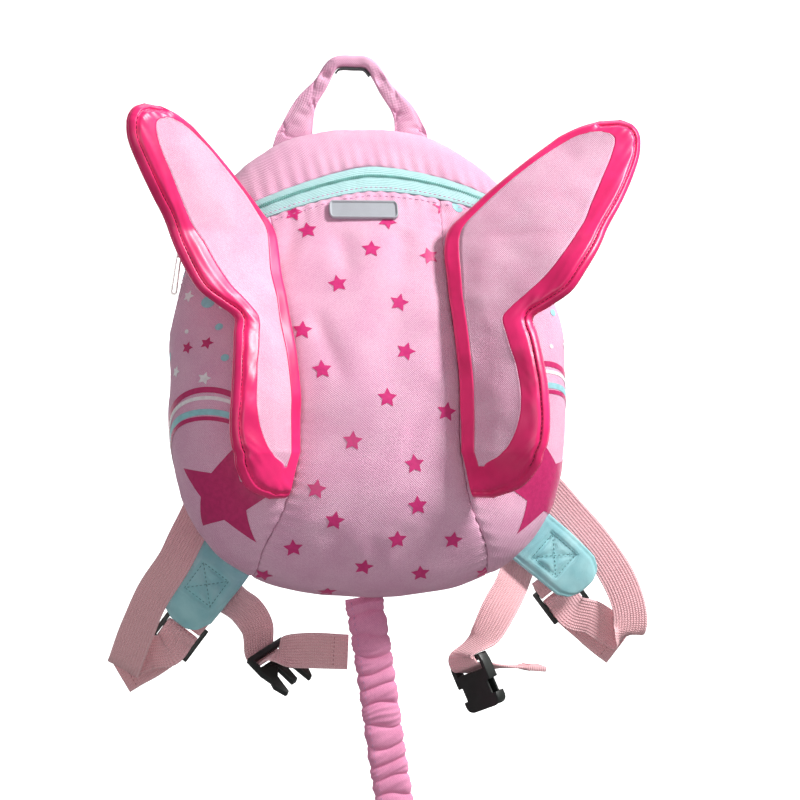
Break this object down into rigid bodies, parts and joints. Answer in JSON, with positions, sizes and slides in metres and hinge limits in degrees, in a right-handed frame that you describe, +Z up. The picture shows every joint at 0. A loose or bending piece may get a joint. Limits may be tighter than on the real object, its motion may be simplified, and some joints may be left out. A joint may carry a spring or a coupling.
{
  "type": "toddler harness backpack",
  "caption": "Small rounded child's backpack with padded wings on the front seams, arched zip, padded straps, open chest buckle, top handle and a gathered safety rein.",
  "frame": {"origin": "underside of the handle's grip, where the bag hangs on a hook", "axes": "+Z up, the front with the wings faces -Y, the straps are on the +Y side, +X to the right as the front is seen"},
  "size_m": [0.3143, 0.1571, 0.4378],
  "materials": {
    "body_cloth": "matt plain weave",
    "wing_cloth": "matt plain weave",
    "wing_coated": "glossy coated cloth",
    "zip_tape": "matt twill tape",
    "pad_cloth": "matt quilted cloth",
    "webbing": "ribbed webbing",
    "handle_lining": "matt",
    "rein_cloth": "matt gathered cloth",
    "label_rubber": "satin",
    "zip_metal": "satin nickel",
    "black_plastic": "satin moulded"
  },
  "bodies": {
    "pack": {"front_panel": "body_cloth", "side_panel_left": "body_cloth", "side_panel_right": "body_cloth", "top_panel": "body_cloth", "back_panel": "body_cloth", "zip_tape_upper": "zip_tape", "zip_tape_lower": "zip_tape", "zip_coil": "zip_tape", "zip_slider": "zip_metal", "label_plate": "label_rubber", "wing_left_border": "wing_coated", "wing_right_border": "wing_coated", "wing_left_inset": "wing_cloth", "wing_right_inset": "wing_cloth", "wing_left_back": "wing_coated", "wing_right_back": "wing_coated", "shoulder_pad_left": "pad_cloth", "shoulder_pad_right": "pad_cloth", "lower_web_left": "webbing", "lower_web_right": "webbing", "adjuster_left": "black_plastic", "adjuster_right": "black_plastic", "adjuster_tab_left": "webbing", "adjuster_tab_right": "webbing", "buckle_plug": "black_plastic", "buckle_socket": "black_plastic", "chest_web_left": "webbing", "chest_web_right": "webbing", "rein": "rein_cloth", "handle_cover": "body_cloth", "handle_lining": "handle_lining"},
    "zip_pull": {"zip_pull": "zip_metal"}
  },
  "joints": [
    {"name": "zip_pull_swing", "type": "hinge", "parent": "pack", "child": "zip_pull", "pos_m": [-0.10493, -0.03233, -0.10387], "axis": [0, 1, 0], "range_deg": [0, 150]}
  ]
}
